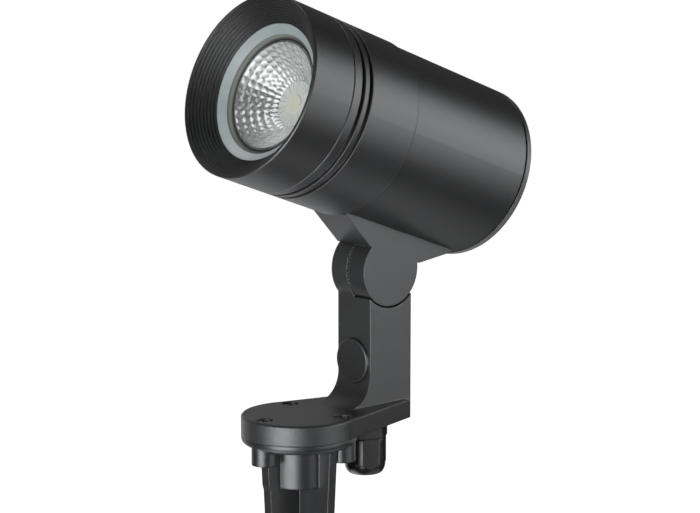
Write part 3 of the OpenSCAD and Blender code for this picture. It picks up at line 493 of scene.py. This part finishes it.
def floor():
    """Pale floor: white to the camera further out; near its foot it is greyer, partly the object's soft shadow and
    partly painted shade from a weaker glow there.

    Glass shows it at about half its white, and other rays meet a dull floor.
    """
    half = 12.0
    z = cad_box[0][2] - 0.5 * MM
    mesh = bpy.data.meshes.new("floor")
    mesh.from_pydata([(-half, -half, z), (half, -half, z), (half, half, z), (-half, half, z)], [], [(0, 1, 2, 3)])
    obj = add_object("floor", mesh)
    mat, tree, shader, where = start("pale_floor")
    tree.nodes.remove(shader)
    paint = node(tree, "ShaderNodeBsdfDiffuse", {"Color": tones(tree, noise(tree, where, 3, 2), (0.78, 0.78, 0.78),
                                                                (0.8, 0.8, 0.8))})
    # The glow is weaker near the foot: a painted grey shade there, under the object's real shadow
    shine = node(tree, "ShaderNodeEmission", {"Color": grey(1.0), "Strength": between(tree, length(tree, where), 0.25,
                                                                                      0.6, 0.55, 1.0)})
    pale = node(tree, "ShaderNodeAddShader", {0: paint.outputs[0], 1: shine.outputs[0]})
    dull = node(tree, "ShaderNodeBsdfDiffuse", {"Color": grey(0.1)})
    camera_ray, transmission = light_path(tree, "Camera", "Transmission")
    in_glass = math_node(tree, "MULTIPLY", transmission, 0.55)
    seen = math_node(tree, "MAXIMUM", camera_ray, in_glass)
    show(tree, mix_shaders(tree, seen, dull, pale))
    mesh.materials.append(mat)
    obj.visible_glossy = False
    obj.visible_shadow = False


def studio_world():
    """White to the camera; reflections and glass show that white on the left and high behind, in a dim room."""
    world = bpy.data.worlds.new("studio")
    bpy.context.scene.world = world
    world.use_nodes = True
    tree = world.node_tree
    tree.nodes.clear()
    way = node(tree, "ShaderNodeTexCoord").outputs["Generated"]
    left = between(tree, dot(tree, way, (-0.97, 0.2, 0.0)), 0.75, 0.92, 0.0, 0.54)
    high = between(tree, dot(tree, way, (-0.5, 0.43, 0.75)), 0.8, 0.95, 0.0, 0.2)
    room = node(tree, "ShaderNodeBackground", {"Color": grey(1.0), "Strength": 0.025})
    white = node(tree, "ShaderNodeBackground", {"Color": grey(1.0), "Strength": 1.0})
    camera_ray, glossy, transmission = light_path(tree, "Camera", "Glossy", "Transmission")
    mirrored = math_node(tree, "MULTIPLY", math_node(tree, "MAXIMUM", glossy, transmission),
                         math_node(tree, "ADD", left, high))
    seen = math_node(tree, "MAXIMUM", camera_ray, mirrored)
    node(tree, "ShaderNodeOutputWorld", {"Surface": mix_shaders(tree, seen, room, white)})


def softbox(name, place, target, width, height, radiance, only=(), never=()):
    """Soft panel that faces the target; it lights everything, only some objects, or never some objects."""
    light = bpy.data.lights.new(name, "AREA")
    light.shape = "RECTANGLE"
    light.size = width
    light.size_y = height
    light.energy = math.pi * width * height * radiance
    light.color = (0.965, 0.98, 1.0)
    obj = add_object(name, light)
    obj.location = place
    obj.rotation_euler = (Vector(target) - Vector(place)).to_track_quat("-Z", "Y").to_euler()
    obj.visible_camera = False
    if only or never:
        group = bpy.data.collections.new(name + "_reach")
        for receiver in only or never:
            group.objects.link(receiver)
        for member in group.collection_objects:
            member.light_linking.link_state = "INCLUDE" if only else "EXCLUDE"
        obj.light_linking.receiver_collection = group


def camera():
    """The photo's viewpoint, from a fit of the object's outlines."""
    down, turn = 8.815, 47.645
    data = bpy.data.cameras.new("camera")
    data.lens = 108.03
    data.sensor_width = 36.0
    data.clip_end = 100.0
    obj = add_object("camera", data)
    obj.location = (0.740796, -0.642556, 0.2375645)
    obj.rotation_euler = (math.radians(90 - down), 0.0, math.radians(turn))
    bpy.context.scene.camera = obj


floor()
studio_world()

# Panels: name, place, target, width, height, radiance
BOWL = (bowl, NODES["lens_glass"])
HOUSINGS = (NODES["rear_housing"], NODES["front_housing"], NODES["end_cap"])
FRONT = ((0.26, -0.88, -0.05), (0.0, 0.0, -0.05), 0.75, 0.9)
TOP = ((-0.42, -0.06, 0.95), (0.0, 0.03, 0.13), 0.7, 0.5)
softbox("key_right", (0.64, 0.70, 0.31), (0.0, 0.0, 0.13), 0.75, 0.6, 2.5)
softbox("front_left", *FRONT, 5.4, never=BOWL)
softbox("bowl_front", *FRONT, 1.4, only=BOWL)
softbox("bowl_top", (-0.1, -0.45, 0.95), (0.0, 0.0, 0.15), 0.9, 0.5, 1.5, only=BOWL)
softbox("bowl_right", (0.85, -0.25, 0.42), (0.0, 0.0, 0.16), 0.5, 0.5, 0.9, only=BOWL)
softbox("bowl_left", (-0.9, -0.1, 0.25), (0.0, 0.0, 0.16), 0.4, 0.7, 1.6, only=BOWL)
softbox("seal_top", (-0.5, -0.35, 0.9), (0.0, 0.0, 0.16), 0.7, 0.5, 3.8, only=[NODES["lens_seal"]])
softbox("right_low", (0.85, 0.30, -0.11), (0.0, 0.02, -0.06), 0.8, 0.3, 1.7)
softbox("low_card", (-0.1, 0.14, -0.2), (-0.1, 0.15, 0.0), 0.6, 0.24, 0.4)
softbox("flange_card", (-0.06, -0.07, -0.2), (-0.05, -0.06, 0.0), 0.3, 0.14, 1.9)
softbox("seam_card", (-0.17, 0.52, -0.2), (-0.16, 0.45, 0.0), 0.3, 0.16, 4.0, only=[NODES["front_housing"]])
softbox("top_left", *TOP, 2.4, only=HOUSINGS)
softbox("top_left_bezel", *TOP, 0.9, only=[NODES["bezel"]])
softbox("cap_card", (0.1, 0.42, -0.2), (0.1, 0.41, 0.0), 0.9, 0.4, 0.9, only=[NODES["end_cap"]])
softbox("back_low", (-0.1, 0.95, -0.1), (0.0, 0.0, -0.06), 0.7, 0.5, 0.5, only=[NODES["spike"]])
softbox("back_card", (-0.48, 0.28, -0.2), (-0.48, 0.29, 0.0), 0.32, 0.34, 0.6)
softbox("left_card", (-0.9, 0.12, -0.15), (0.0, 0.0, -0.1), 0.7, 0.4, 0.25)

camera()
bpy.context.scene.view_settings.view_transform = "Standard"
